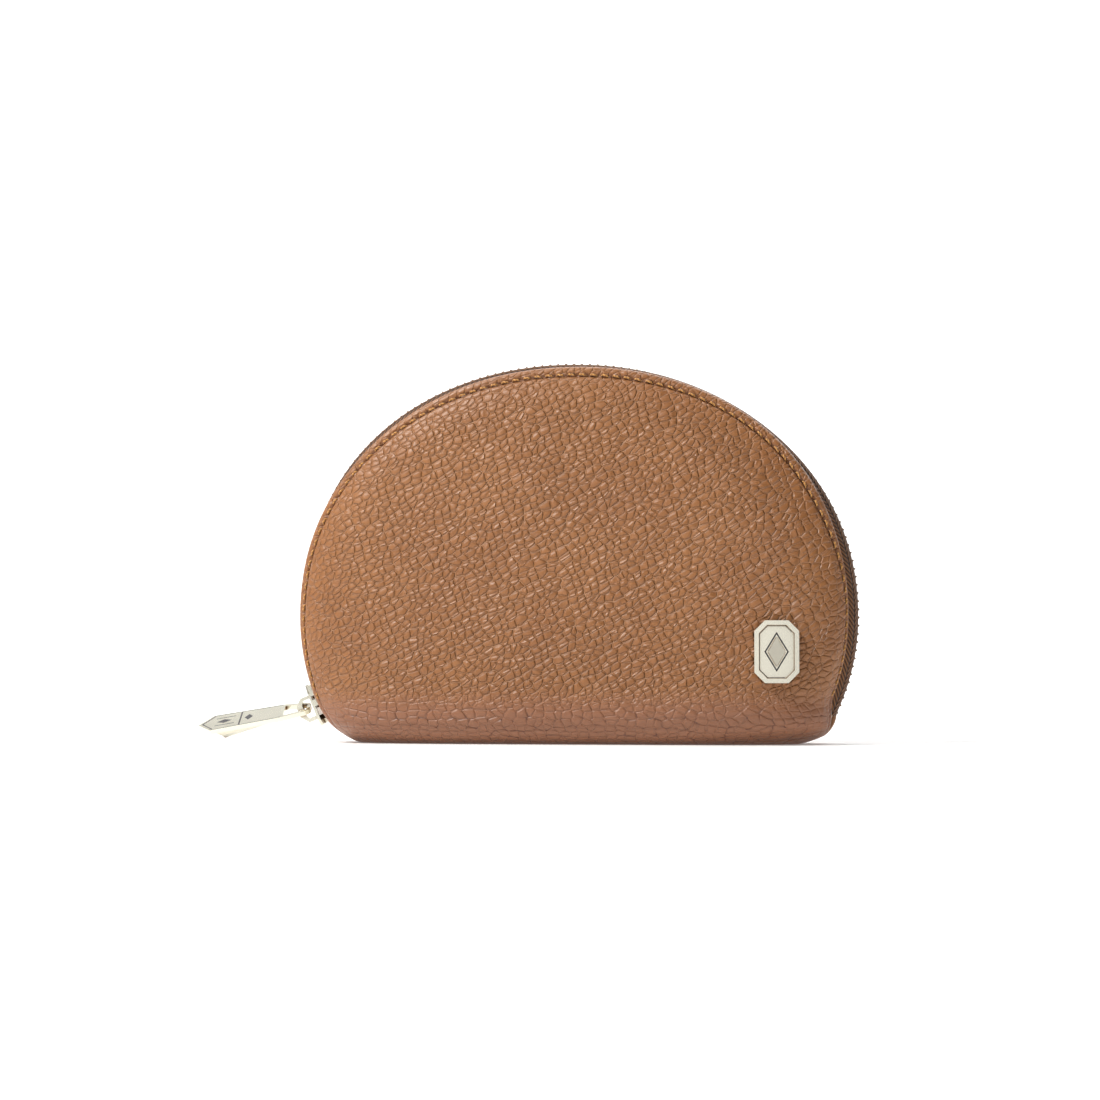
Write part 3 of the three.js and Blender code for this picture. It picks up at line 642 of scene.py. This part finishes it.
def leather_wall(side):
    name = sided("leather_skin", side)
    columns, rows = 300, 230
    x, z, inside, angle = wall_grid(columns, rows)
    rise = half_depth_at(x, z, LIP_REACH) - edge_half_gap_at(z, LIP_REACH)
    from_edge = np.hypot(rise, np.minimum(inside, 500))
    on_zip = smoothstep(z, SEAM_TOP, ZIP_BOTTOM + 3)

    def band(middle, half_width):
        """1 on a line this far inside the edge, fading to 0 on both sides of it."""
        return np.exp(-(((from_edge - middle) / half_width) ** 2))

    groove_and_shade = np.exp(-(((from_edge - stitch_inset_at(x, z) - 0.15) / 0.5) ** 2)) * on_zip
    lip = 0.3 * band(1.4, 0.85) * on_zip
    pad = 0.12 * band(4.6, 0.8) * on_zip
    soft = smoothstep(from_edge, 5, 22) * smoothstep(z, 1, 12)
    sag = soft * (0.42 * ripples(x, z, 42.0, side + 5) + 0.12 * ripples(x, z, 15.0, side + 9))
    points = wall_point(side, x, z, GROOVE_DEPTH * groove_and_shade - lip - pad - sag, LIP_REACH)
    points[..., 0] += lean_at(side, x, z)
    made = grid_object(name, points, LEATHER, flip=side == BACK)

    # The pebbles are longer along the lean than across it.
    stretch, skew = 0.74, 0.06
    flat_x, flat_z = unrolled(x, z, angle)
    along_lean = flat_x * math.cos(GRAIN_LEAN) + flat_z * math.sin(GRAIN_LEAN)
    across_lean = flat_z * math.cos(GRAIN_LEAN) - flat_x * math.sin(GRAIN_LEAN)
    along_lean = stretch * along_lean - skew * across_lean
    zero = np.zeros_like(x)
    set_vectors(made, "wall_place", np.stack([along_lean, across_lean, zero], axis=-1))
    set_vectors(made, "plain_place", np.stack([flat_x, flat_z, zero], axis=-1))
    set_values(made, "near_rim", 1 - smoothstep(from_edge, 3, 12))
    # Mask of the foot: it blends in the stretched grain, and it brings the painted shade in the creases
    # and the painted floor reflection on the pebbles.
    set_values(made, "near_foot", 1 - smoothstep(z, 7, 15))
    # The groove mask, at a little over half strength, also carries the painted shade along the
    # stitches.
    set_values(made, "groove_and_shade", 0.55 * groove_and_shade)
    attach(made, side, "leather", sided("leather", side))


def leather_underside():
    """The flat of the base, between the two walls."""
    columns, rows = 90, 16
    u, v = np.meshgrid(np.linspace(-1, 1, columns), np.linspace(-1, 1, rows), indexing="ij")
    x = gathered(u, 1.5) * half_width_at(np.array(0.0))
    y = v * half_depth_at(x, np.zeros_like(x), LIP_REACH)
    points = np.stack([x, y, np.zeros_like(x)], axis=-1)
    made = grid_object("leather_underside", points, LEATHER, flip=True)
    zero = np.zeros_like(x)
    place = np.stack([x, y, zero], axis=-1)
    for name in ("wall_place", "plain_place"):
        set_vectors(made, name, place)
    set_values(made, "near_rim", zero)
    set_values(made, "near_foot", zero + 1)
    set_values(made, "groove_and_shade", zero)
    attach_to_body(made, "pouch")
    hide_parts("leather_base")


def folded_edge(side):
    """The leather turned under beside the zip, and the side seams below it."""
    name = sided("leather_edge", side)
    profile = np.array([
        (0.0, 0.0), (0.28, 0.03), (0.48, 0.16), (0.6, 0.42),
        (0.6, 0.75), (0.46, 1.05), (0.1, 1.22), (-1.4, 1.3),
    ])
    angles, along = even_rim_angles(0.05, 0.7)
    x, z = rim_at(angles)
    z = np.maximum(z, 0)
    share = smoothstep(z, SEAM_TOP, ZIP_BOTTOM)
    rings = []
    for reach, depth in profile:
        ring = wall_point(side, x, z, np.full_like(x, depth), LIP_REACH)
        ring[:, 1] -= side * reach * share
        ring[:, 0] += lean_at(side, x, z)
        rings.append(ring)
    points = np.stack(rings, axis=1)
    made = grid_object(name, points, EDGE, flip=side == FRONT)
    place = np.broadcast_to(profile[None, :, 1], (len(along), len(profile)))
    zero = np.zeros_like(place)
    set_vectors(made, "edge_place", np.stack([along[:, None] + zero, place, zero], axis=-1))
    attach(made, side, "leather")


# ---------------------------------------------------------------- stitching

def stitch_path(side, low_level, spacing):
    """Points on the leather a fixed way in from its edge, with outward normals."""
    angles, along = even_rim_angles(low_level, spacing)
    x, z = rim_at(angles)
    nearest, farthest = np.full_like(x, 0.8), np.ones_like(x)
    for _ in range(STITCH_HALVINGS):
        share = (nearest + farthest) / 2
        px, pz = x * share, WALL_FOOT + (z - WALL_FOOT) * share
        rise = half_depth_at(px, pz, LIP_REACH) - edge_half_gap_at(pz, LIP_REACH)
        too_far = np.hypot(rise, np.hypot(x - px, z - pz)) > stitch_inset_at(px, pz)
        nearest, farthest = np.where(too_far, share, nearest), np.where(too_far, farthest, share)
    points = wall_point(side, px, pz, np.zeros_like(px), LIP_REACH)
    points[:, 0] += lean_at(side, px, pz)
    normals = wall_normal_at(px, pz, LIP_REACH) * np.array([1, side, 1])
    return points, normals, along


def stitching(side):
    """A row of saddle stitches, each a short bowed thread that dips into the leather at its ends."""
    name = sided("stitching", side)
    points, normals, along = stitch_path(side, ZIP_END_LEVEL + 2, 0.25)
    length, radius, slant = 2.05, 0.27, 0.16
    bow_rise, bow_dip, sunk = 0.24, 0.55, 0.28
    rings, sides = 9, 8
    vertices, faces, places = [], [], []
    count = int(along[-1] / STITCH_PITCH)
    for index in range(count):
        middle = (index + 0.5) * STITCH_PITCH
        shares = np.linspace(-1, 1, rings)
        at = middle + shares * length / 2
        centre = np.stack([np.interp(at, along, points[:, axis]) for axis in range(3)], axis=-1)
        up = np.stack([np.interp(at, along, normals[:, axis]) for axis in range(3)], axis=-1)
        forward = np.gradient(centre, axis=0)
        forward /= np.linalg.norm(forward, axis=1, keepdims=True)
        aside = np.cross(forward, up)
        bow = bow_rise - bow_dip * shares ** 4
        centre = centre + up * (bow - sunk)[:, None] + aside * (shares * slant)[:, None]
        thick = radius * np.sqrt(np.clip(1 - np.abs(shares) ** 5 * 0.75, 0, 1))
        start = len(vertices) * sides
        for ring in range(rings):
            turn = np.linspace(0, 2 * math.pi, sides, endpoint=False)
            ring_points = (
                centre[ring]
                + np.cos(turn)[:, None] * aside[ring] * thick[ring]
                + np.sin(turn)[:, None] * up[ring] * thick[ring]
            )
            vertices.append(ring_points)
            places.append(np.stack([np.full(sides, at[ring]), turn, np.zeros(sides)], axis=-1))
        faces += grid_faces(rings, sides, start, around=True)
        faces.append(tuple(start + k for k in range(sides)))
        faces.append(tuple(start + (rings - 1) * sides + k for k in reversed(range(sides))))
    made = new_object(name, np.concatenate(vertices), faces, THREAD)
    set_vectors(made, "thread_place", np.concatenate(places))
    face_outwards(made)
    attach(made, side, "leather")


# ---------------------------------------------------------------- zip

TAPE_CROWN = 1.25
TAPE_THICKNESS = 0.45
TAPE_DEPTH = LEATHER_THICKNESS + 0.6
TAPE_HALF_SLIT = 0.22
TAPE_ROUND = 17.4  # the place of the slit on the underside, counted round the tape
LOOP_PITCH = 2.0  # between the bumps on the edges of the zip
COIL_PITCH = 1.35


def crown_at(angles):
    """The tapes stand highest at the sides and lie nearly flush at the upper right."""
    degrees = np.degrees(angles)
    flush = 0.95 * np.exp(-(((degrees - 58) / 27) ** 2))
    proud = 0.8 * np.exp(-(((degrees - 132) / 24) ** 2))
    return TAPE_CROWN - flush + proud


def zip_tape(side):
    """One half of the tape: a ridge with small bumps beside the slit, sloping down to the leather
    and tucked under it."""
    name = sided("woven_tape", side)
    open_profile = [
        (0.0, 0.0), (0.02, 0.25), (0.02, 0.5), (0.0, 0.9), (-0.1, 1.5), (-0.22, 2.1),
        (-0.62, 2.8), (-1.15, 3.5), (-1.7, 4.1), (-2.25, 4.6),
    ]
    angles, along = even_rim_angles(ZIP_END_LEVEL - 1.0, 0.22)
    x, z = rim_at(angles)
    crown = crown_at(angles)
    beat = np.abs((along / LOOP_PITCH) % 1 - 0.5) * LOOP_PITCH
    knot = np.exp(-((beat / 0.26) ** 2)) * smoothstep(crown, 0.3, 1.1)
    swell = 0.5 - 0.5 * np.cos(2 * math.pi * along / LOOP_PITCH)
    rings, across, loops = [], [], []

    def tucked(share, depth):
        return wall_point(side, x * share, WALL_FOOT + (z - WALL_FOOT) * share, np.full_like(x, depth))

    def open_ring(height, width, drop):
        near_slit = math.exp(-((width / 0.55) ** 2))
        raised = crown + height - drop + near_slit * (0.58 * knot - 0.1 * swell)
        loops.append(near_slit * knot)
        return rim_point(side, angles, raised, TAPE_HALF_SLIT + width)

    for height, width in open_profile:
        rings.append(open_ring(height, width, 0.0))
        across.append(width)
    for share, place in ((0.999, 5.4), (0.987, 7.0), (0.972, 8.6)):
        rings.append(tucked(share, TAPE_DEPTH))
        across.append(place)
        loops.append(0 * knot)
    for share, place in ((0.972, 8.9), (0.999, 12.0)):
        rings.append(tucked(share, TAPE_DEPTH + TAPE_THICKNESS))
        across.append(place)
        loops.append(0 * knot)
    for height, width in reversed(open_profile[::3]):
        rings.append(open_ring(height, width, TAPE_THICKNESS))
        across.append(TAPE_ROUND - width)
    points = np.stack(rings, axis=1)
    made = grid_object(name, points, TAPE, around=True)
    shape = points.shape[:2]
    zero = np.zeros(shape)
    place = np.stack([along[:, None] + zero, np.array(across)[None, :] + zero, zero], axis=-1)
    set_vectors(made, "weave_place", place)
    set_values(made, "loop_share", np.stack(loops, axis=1))
    face_outwards(made)
    attach(made, side, "zip_tape", sided("zip_tape", side))


def zip_coil(side):
    """A wound nylon coil on the inner face of the tape."""
    name = sided("wound_coil", side)
    wire, steps, sides = 0.3, 10, 6
    angles, along = even_rim_angles(ZIP_END_LEVEL, COIL_PITCH / steps)
    # The turns of one half lie between those of the other.
    half_a_turn = math.pi if side == BACK else 0
    turn = 2 * math.pi * along / COIL_PITCH + half_a_turn
    sunk, half_height, offset, half_breadth = -0.62, 0.72, 1.1, 1.15
    height = sunk + half_height * np.sin(turn)
    across = offset + half_breadth * np.cos(turn)
    height = height + (crown_at(angles) - TAPE_CROWN)
    centre = rim_point(side, angles, height, across)
    forward = np.gradient(centre, axis=0)
    forward /= np.linalg.norm(forward, axis=1, keepdims=True)
    nx, nz = rim_normal_at(angles)
    along_rim = np.stack([nz, 0 * nx, -nx], axis=-1)
    first = np.cross(forward, along_rim)
    first /= np.linalg.norm(first, axis=1, keepdims=True)
    second = np.cross(forward, first)
    rings = []
    for k in range(sides):
        spin = 2 * math.pi * k / sides
        rings.append(centre + wire * (math.cos(spin) * first + math.sin(spin) * second))
    made = grid_object(name, np.stack(rings, axis=1), COIL, around=True)
    face_outwards(made)
    attach(made, side, "zip_coil", sided("zip_coil", side))


def tape_end(name, heading, top_level, height):
    """The joined ends of the tapes, turned in and sewn under the leather below the zip."""
    bottom_level, overlap, sag, lowest = SEAM_TOP - 0.5, 0.9, 0.35, 0.6
    levels = np.linspace(bottom_level, top_level, 16)
    shares = np.linspace(-1, 1, 11)
    angles = np.array([rim_angle_at(level) for level in levels])
    if heading < 0:
        angles = math.pi - angles
    angle, share = np.meshgrid(angles, shares, indexing="ij")
    x, z = rim_at(angle)
    across = share * (edge_half_gap_at(z, LIP_REACH) + overlap)
    points = rim_point(BACK, angle, height - sag * share ** 2, across)
    points[..., 0] += lean_at(BACK, x, z)
    points[..., 2] = np.maximum(points[..., 2], lowest)
    made = grid_object(name, points, TAPE, flip=heading < 0)
    add_cloth_thickness(made, 0.4)
    set_vectors(made, "weave_place", np.stack([across, z, 0 * z], axis=-1))
    set_values(made, "loop_share", 0 * z)
    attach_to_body(made, "pouch")


# ---------------------------------------------------------------- inside

def inner_layer(stem, side, depth, reach, material, slot_name, node_stem):
    """A lining or stiffener a fixed depth below the outer face, gently puckered."""
    columns, rows = 110, 90
    x, z, inside, _ = wall_grid(columns, rows, reach)
    soft = smoothstep(inside, 2, 18) * smoothstep(z, 2, 14)
    pucker_height, pucker_length, pucker_seed, slack = 0.16, 16.0, 31, 0.2
    pucker = soft * (pucker_height * ripples(x, z, pucker_length, pucker_seed + side) + slack)
    points = wall_point(side, x, np.maximum(z, depth), depth + pucker)
    made = grid_object(sided(stem, side), points, material, flip=side == FRONT)
    attach(made, side, slot_name, sided(node_stem, side))


def lining_floor():
    """The lining over the base, with the seam line down its middle."""
    columns, rows = 80, 14
    u, v = np.meshgrid(np.linspace(-1, 1, columns), np.linspace(-1, 1, rows), indexing="ij")
    end_margin, side_margin = 3, 1.5
    seam_height, seam_half_width = 0.25, 0.8
    x = u * (half_width_at(np.array(0.0)) - end_margin)
    y = v * (half_depth_at(x, np.full_like(x, LINING_DEPTH)) - side_margin)
    z = LINING_DEPTH + seam_height * np.exp(-((y / seam_half_width) ** 2)) + 0 * x
    made = grid_object("lining_floor", np.stack([x, y, z], axis=-1), LINING)
    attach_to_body(made, "pouch")
    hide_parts("lining_base")


def slip_pocket():
    """An open-topped pocket of lining cloth, hemmed at the top and stitched down at its edges."""
    hem_height, belly_depth, drop = 0.28, 0.9, 0.9
    low, high = box_mm("slip_pocket")
    columns, rows = 90, 50
    u, v = np.meshgrid(np.linspace(-1, 1, columns), np.linspace(0, 1, rows), indexing="ij")
    x = u * high[0]
    z = low[2] + (high[2] - low[2]) * v
    hem = hem_height * (np.exp(-(((1 - v) / 0.05) ** 2)) + np.exp(-((v / 0.03) ** 2)))
    belly = belly_depth * v * (1 - u ** 4)
    edge_down = drop * np.maximum(smoothstep(np.abs(u), 0.97, 1), 1 - smoothstep(v, 0, 0.03))
    points = wall_point(BACK, x, z, POCKET_DEPTH + belly + hem - edge_down)
    made = grid_object("pocket_panel", points, LINING)
    add_cloth_thickness(made, 0.5)
    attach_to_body(made, "pouch")
    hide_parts("slip_pocket")


# ---------------------------------------------------------------- metal

SHARP_ANGLE = math.radians(28)  # edges that turn by more than this are softened


def finish_piece(node, material, width):
    """Gives a CAD piece its material and softens its edges."""
    piece = bpy.data.objects[node]
    piece.data.materials.clear()
    piece.data.materials.append(material)
    bevel = piece.modifiers.new("soft edges", "BEVEL")
    bevel.width = width * MM
    bevel.segments = 3
    bevel.limit_method = "ANGLE"
    bevel.angle_limit = SHARP_ANGLE
    bevel.harden_normals = True


def prism(outline, bottom, top):
    """Points and faces of a straight-sided solid over an outline in X and Y."""
    count = len(outline)
    points = [(x, y, bottom) for x, y in outline] + [(x, y, top) for x, y in outline]
    faces = [tuple(reversed(range(count))), tuple(range(count, 2 * count))]
    faces += [(k, (k + 1) % count, count + (k + 1) % count, count + k) for k in range(count)]
    return points, faces


def line_outline(start, end, width):
    start, end = np.array(start, float), np.array(end, float)
    forward = (end - start) / np.linalg.norm(end - start)
    aside = np.array([-forward[1], forward[0]]) * width / 2
    tip = forward * width / 2
    low, high = start - tip, end + tip
    return [tuple(point) for point in (low - aside, high - aside, high + aside, low + aside)]


def inlay(name, outlines, bottom, top, frame_matrix, body, material):
    """Thin solids let into a metal face, in that face's own millimetres."""
    points, faces = [], []
    for outline in outlines:
        solid_points, solid_faces = prism(outline, bottom, top)
        faces += [tuple(len(points) + k for k in face) for face in solid_faces]
        points += solid_points
    made = new_object(name, points, faces, material)
    made.data.polygons.foreach_set("use_smooth", [False] * len(made.data.polygons))
    made.data.transform(frame_matrix)
    face_outwards(made)
    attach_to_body(made, body)


PULL_DROOP = math.radians(9.8)
PULL_ROLL = math.radians(27)
PULL_HALF_THICKNESS = 0.6
PULL_SHOULDER = 25.9
PULL_TIP = 29.7
PULL_HALF_WIDTH = 4.1
PULL_NEAR_HALF_WIDTH = 3.6
PULL_WINDOW = 6.9


def pull_matrix():
    place = Matrix.Translation(Vector(joint_mm("pull_swing") * MM))
    swing = Matrix.Rotation(math.pi - PULL_DROOP, 4, "Y")
    return place @ swing @ Matrix.Rotation(math.pi - PULL_ROLL, 4, "X")


def lozenge_outline(middle, half_long, half_wide):
    return [(middle - half_long, 0), (middle, -half_wide), (middle + half_long, 0), (middle, half_wide)]


def pull_engraving():
    """A plain border along the point, a cross bar and lozenges either side of it."""
    half = PULL_HALF_WIDTH - 0.75
    tip = PULL_TIP - 1.2
    bar = PULL_SHOULDER - 7.6
    lines = [line_outline((bar, -half), (bar, half), 0.42)]
    lines += [line_outline((PULL_SHOULDER - 0.3, side * half), (tip, 0), 0.28) for side in (-1, 1)]
    for side in (-1, 1):
        near = (PULL_WINDOW + 0.4, side * (PULL_NEAR_HALF_WIDTH - 0.35))
        far = (PULL_SHOULDER - 0.1, side * (PULL_HALF_WIDTH - 0.35))
        lines.append(line_outline(near, far, 0.13))
        lines.append(line_outline((bar + 1.6, side * 1.9), (PULL_SHOULDER - 1, side * 1.9), 0.22))
    lozenges = [lozenge_outline(PULL_SHOULDER - 3.2, 2.0, 0.95), lozenge_outline(bar - 2.2, 1.1, 1.5)]
    top = PULL_HALF_THICKNESS + 0.015
    inlay("pull_engraving", lines + lozenges, top - 0.1, top, pull_matrix(), "pull_bar", ENAMEL)


BADGE_X = 51.4
BADGE_Z = 23.0
BADGE_GAP = 0.3
BADGE_THICKNESS = 1.1
BADGE_RECESS = 0.5


def badge_matrix():
    x, z = np.array(BADGE_X), np.array(BADGE_Z)
    normal = Vector(wall_normal_at(x, z) * np.array([1, FRONT, 1]))
    across = Vector((-normal.y, normal.x, 0)).normalized()
    up = normal.cross(across)
    turn = Matrix((across, up, normal)).transposed().to_4x4()
    return Matrix.Translation(Vector(wall_point(FRONT, x, z, np.array(0.0)) * MM)) @ turn


def badge_lines():
    """A fine dark line inside the raised rim and one round the lozenge."""
    floor = BADGE_GAP + BADGE_THICKNESS - BADGE_RECESS

    def ring(corners, width):
        pairs = zip(corners, corners[1:] + corners[:1])
        return [line_outline(start, end, width) for start, end in pairs]

    wide, high, corner = 4.15, 6.35, 1.95
    tray = [
        (wide - corner, -high), (wide, corner - high), (wide, high - corner), (wide - corner, high),
        (corner - wide, high), (-wide, high - corner), (-wide, corner - high), (corner - wide, -high),
    ]
    lozenge = [(0, -4.6), (2.8, 0), (0, 4.6), (-2.8, 0)]
    outlines = ring(tray, 0.16) + ring(lozenge, 0.34)
    inlay("badge_lines", outlines, floor - 0.1, floor + 0.03, badge_matrix(), "front_half", ENAMEL)


def hardware():
    for node in ("slider_body", "pull", "badge_plate"):
        finish_piece(node, GOLD, 0.17)
    finish_piece("slider_bail", GOLD, 0.28)
    for node in ("slider_lock_pin", "badge_washer"):
        finish_piece(node, GOLD, 0.1)
    finish_piece("zip_bottom_stop", BRASS, 0.2)
    finish_piece("badge_inlay", SATIN, 0.12)
    pull_engraving()
    badge_lines()


# ---------------------------------------------------------------- stage, light and camera

CAMERA_TURN = math.radians(9)
CAMERA_LEVEL = 22.0  # height of the lens, a little above the foot of the pouch
VIEW_WIDTH = 278.0
AIM_RIGHT = -7.1
AIM_UP = 48.8
LENS = 100.0


def stage():
    """A pale floor that sweeps up into a backdrop."""
    n = Nodes("pale_sweep")
    place = n.add("ShaderNodeTexCoord").outputs["Object"]
    tone = n.noise(place, 3.0, 2.0)
    pale = n.mix(tone, (0.86, 0.86, 0.86, 1), (0.9, 0.9, 0.9, 1))
    n.finish(Base_Color=pale, Roughness=0.9, Emission_Color=(1, 1, 1, 1), Emission_Strength=0.2)
    near, far, radius, high, wide, steps = -1800.0, 500.0, 500.0, 2200.0, 2600.0, 14
    profile = [(near, 0.0), (0.0, 0.0), (far, 0.0)]
    profile += [
        (far + radius * math.sin(a), radius - radius * math.cos(a))
        for a in np.linspace(0, math.pi / 2, steps)[1:]
    ]
    profile.append((far + radius, high))
    points = [(x, y, z) for x in (-wide, wide) for y, z in profile]
    floor = new_object("sweep", points, grid_faces(2, len(profile)), n.material)


def area_light(name, place, target, size, power, tint=(1, 1, 1)):
    data = bpy.data.lights.new(name, "AREA")
    data.shape = "RECTANGLE"
    data.size, data.size_y = size
    data.energy = power
    data.color = tint
    lamp = bpy.data.objects.new(name, data)
    lamp.location = place
    aim = Vector(target) - Vector(place)
    lamp.rotation_euler = aim.to_track_quat("-Z", "Y").to_euler()
    bpy.context.scene.collection.objects.link(lamp)


def studio_world():
    """Soft light, strongest from the upper left behind the pouch and none from the lower right."""
    world = bpy.data.worlds.new("studio")
    world.use_nodes = True
    tree = world.node_tree
    place = tree.nodes.new("ShaderNodeTexCoord")
    tilt = tree.nodes.new("ShaderNodeVectorMath")
    tilt.operation = "DOT_PRODUCT"
    tilt.inputs[1].default_value = (-0.62, 0.45, 0.64)
    level = tree.nodes.new("ShaderNodeMapRange")
    limits = {"From Min": -0.7, "From Max": 0.9, "To Min": 0.0, "To Max": 0.38}
    for name, value in limits.items():
        level.inputs[name].default_value = value
    tree.links.new(place.outputs["Generated"], tilt.inputs[0])
    tree.links.new(tilt.outputs["Value"], level.inputs["Value"])
    background = tree.nodes["Background"]
    background.inputs["Color"].default_value = (1, 1, 1, 1)
    tree.links.new(level.outputs["Result"], background.inputs["Strength"])
    bpy.context.scene.world = world


def lights():
    middle = (0, 0, 0.045)
    area_light("key", (-0.5, -0.35, 0.73), middle, (0.2, 0.2), 9.0, (1, 0.98, 0.94))
    area_light("front card", (-0.45, -1.0, 0.35), middle, (0.6, 0.5), 0.5, (1, 0.99, 0.98))
    area_light("badge card", (0.24, -1.15, 0.2), middle, (0.32, 0.32), 0.38, (1, 0.99, 0.98))
    area_light("backdrop", (0.0, 0.45, 1.1), (0, 0.95, 0.3), (1.4, 0.5), 12.0)
    studio_world()
    bpy.context.scene.view_settings.view_transform = "Standard"


def camera():
    data = bpy.data.cameras.new("camera")
    data.lens = LENS
    data.shift_y = (AIM_UP - CAMERA_LEVEL) / VIEW_WIDTH
    eye = bpy.data.objects.new("camera", data)
    right = Vector((math.cos(CAMERA_TURN), math.sin(CAMERA_TURN), 0))
    back = Vector((math.sin(CAMERA_TURN), -math.cos(CAMERA_TURN), 0))
    distance = VIEW_WIDTH * MM * LENS / data.sensor_width
    eye.location = right * AIM_RIGHT * MM + back * distance + Vector((0, 0, CAMERA_LEVEL * MM))
    eye.rotation_euler = (-back).to_track_quat("-Z", "Y").to_euler()
    bpy.context.scene.collection.objects.link(eye)
    bpy.context.scene.camera = eye


# ---------------------------------------------------------------- assembly

for wall_side in (FRONT, BACK):
    leather_wall(wall_side)
    folded_edge(wall_side)
    stitching(wall_side)
    zip_tape(wall_side)
    zip_coil(wall_side)
leather_underside()
tape_end("tape_end_right", 1, 8.2, -1.6)
tape_end("tape_end_left", -1, 4.4, -1.5)

for wall_side in (FRONT, BACK):
    inner_layer("lining_wall", wall_side, LINING_DEPTH, 1.0, LINING, "lining", "lining")
for wall_side in (FRONT, BACK):
    inner_layer(
        "stiffener_sheet", wall_side, STIFFENER_DEPTH, STIFFENER_REACH, BOARD, "board", "stiffener"
    )
lining_floor()
slip_pocket()
finish_piece("base_board", BOARD, 0.1)
hardware()
stage()
lights()
camera()
